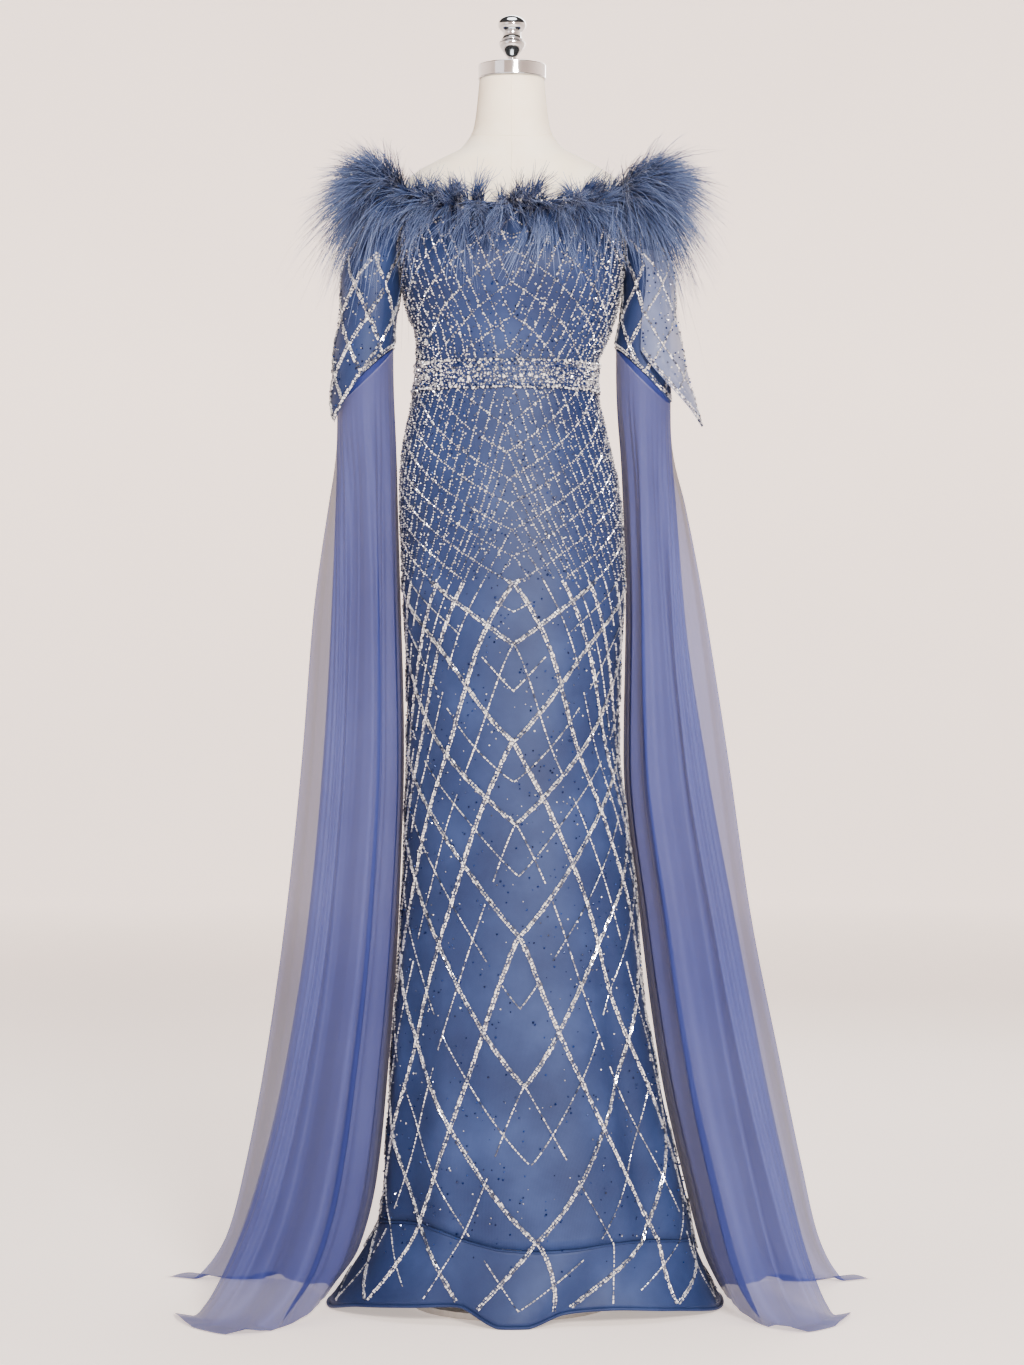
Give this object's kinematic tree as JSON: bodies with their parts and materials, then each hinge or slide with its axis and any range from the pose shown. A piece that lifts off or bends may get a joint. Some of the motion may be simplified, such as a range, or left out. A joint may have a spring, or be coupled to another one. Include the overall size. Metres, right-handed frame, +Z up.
{
  "type": "off-shoulder dress on a dress form",
  "caption": "Blue floor-length off-shoulder gown with bead lattice, feather neckline, beaded belt and long sheer sleeve wings, on a limbless cream dress form",
  "frame": {"origin": "Centre of the underside of the form's round base, on the floor", "axes": "X to the wearer's left, the picture's right; -Y out of the front of the dress; +Z up"},
  "size_m": [0.9148, 0.4259, 1.6085],
  "materials": {
    "beaded_net": "blue satin under net with silver bead lattice",
    "belt_beads": "band covered with silver beads",
    "chiffon": "sheer lavender-blue chiffon",
    "feather": "long-barbed blue feather trim",
    "linen": "cream linen over a padded form",
    "chrome": "polished",
    "steel": "satin off-white paint"
  },
  "bodies": {
    "root": {"bodice_front": "beaded_net", "bodice_back": "beaded_net", "belt_front": "belt_beads", "belt_back": "belt_beads", "skirt_front": "beaded_net", "skirt_back": "beaded_net", "flounce_front": "beaded_net", "flounce_back": "beaded_net", "sleeve_left": "beaded_net", "sleeve_right": "beaded_net", "sleeve_point_left": "beaded_net", "sleeve_point_right": "beaded_net", "wing_left": "chiffon", "wing_right": "chiffon", "trim_front": "feather", "trim_back": "feather", "trim_left": "feather", "trim_right": "feather", "form_torso": "linen", "form_cap": "chrome", "form_finial": "chrome", "form_pole": "steel", "form_base": "steel"}
  },
  "joints": []
}
